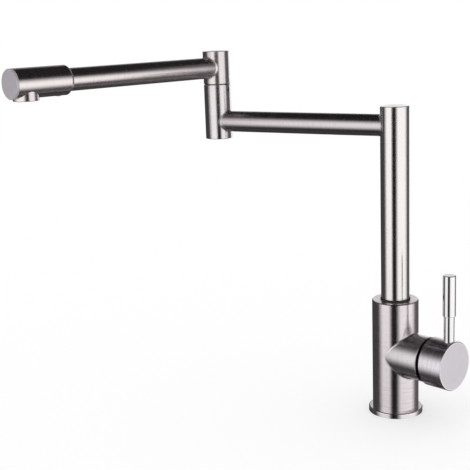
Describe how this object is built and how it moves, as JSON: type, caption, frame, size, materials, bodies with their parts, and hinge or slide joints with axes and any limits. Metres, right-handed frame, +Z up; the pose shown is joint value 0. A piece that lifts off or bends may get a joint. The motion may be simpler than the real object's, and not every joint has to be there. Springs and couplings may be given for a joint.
{
  "type": "swivel kitchen faucet",
  "caption": "Single-hole kitchen mixer with an upright body, a side barrel with a pin lever, and a folding spout of two arms that swivel at the riser and at the elbow.",
  "frame": {"origin": "centre of the base ring's underside, on the deck", "axes": "+Z up, +X along the valve barrel towards the handle, +Y to the left of the handle seen from the handle's end"},
  "size_m": [0.2841, 0.3257, 0.417],
  "materials": {
    "brushed_steel": "fine satin brushing along each tube",
    "turned_steel": "fine circular turning lines",
    "polished_steel": "polished bright",
    "satin_cap": "matt satin end faces",
    "dark_steel": "plain screw steel",
    "brass": "machined",
    "black_rubber": "matt",
    "red_rubber": "matt",
    "white_plastic": "moulded",
    "grey_plastic": "moulded",
    "black_plastic": "moulded, low friction",
    "white_ceramic": "lapped"
  },
  "bodies": {
    "fixed_body": {"base_flange": "polished_steel", "base_seal": "black_rubber", "valve_body": "brushed_steel", "valve_barrel": "brushed_steel", "mounting_shank": "brass", "deck_gasket": "black_rubber", "deck_washer": "dark_steel", "mounting_nut": "brass", "cartridge_base": "grey_plastic", "cartridge_seals": "red_rubber", "fixed_disc": "white_ceramic", "cartridge_housing": "white_plastic", "cartridge_nut": "brass", "trim_dome": "polished_steel", "riser_slip_ring": "black_plastic", "riser_lock_screw": "dark_steel"},
    "first_arm": {"riser_spigot": "brass", "riser_o_rings": "black_rubber", "riser_tube": "brushed_steel", "riser_cap": "satin_cap", "first_arm_tube": "brushed_steel", "elbow_lower_barrel": "brushed_steel", "elbow_lower_cap": "satin_cap", "elbow_bush": "brass", "elbow_lock_screw": "dark_steel", "elbow_slip_ring": "black_plastic"},
    "second_arm": {"elbow_upper_barrel": "brushed_steel", "elbow_upper_cap": "satin_cap", "elbow_spigot": "brass", "elbow_o_rings": "black_rubber", "second_arm_tube": "brushed_steel", "spout_head": "turned_steel", "head_cap": "satin_cap", "head_o_rings": "black_rubber", "head_lock_screw": "dark_steel", "nozzle_boss": "polished_steel", "aerator_housing": "dark_steel", "aerator_screen": "dark_steel", "aerator_insert": "white_plastic", "aerator_washer": "black_rubber"},
    "turret": {"cartridge_turret": "grey_plastic", "stem_pin": "dark_steel"},
    "handle": {"cartridge_stem": "brass", "handle_hub": "turned_steel", "hub_cap": "satin_cap", "hub_set_screw": "dark_steel", "index_plug": "grey_plastic", "lever_pin": "polished_steel"},
    "control_disc": {"disc_carrier": "grey_plastic", "moving_disc": "white_ceramic"}
  },
  "joints": [
    {"name": "riser_swivel", "type": "hinge", "parent": "fixed_body", "child": "first_arm", "pos_m": [0, 0, 0.1], "axis": [0, 0, 1], "continuous": true},
    {"name": "elbow_swivel", "type": "hinge", "parent": "first_arm", "child": "second_arm", "pos_m": [-0.19273, -0.05345, 0.328], "axis": [0, 0, 1], "continuous": true},
    {"name": "handle_turn", "type": "hinge", "parent": "fixed_body", "child": "turret", "pos_m": [0.028, 0, 0.062], "axis": [1, 0, 0], "range_deg": [-45, 45]},
    {"name": "handle_tilt", "type": "hinge", "parent": "turret", "child": "handle", "pos_m": [0.028, 0, 0.062], "axis": [0, 1, 0], "range_deg": [0, 25]},
    {"name": "disc_slide", "type": "slide", "parent": "turret", "child": "control_disc", "axis": [0, 0, 1], "range_m": [0, 0.00385]}
  ],
  "couplings": [
    {"joint": "disc_slide", "follows": "handle_tilt", "m_per_rad": 0.0087171}
  ]
}
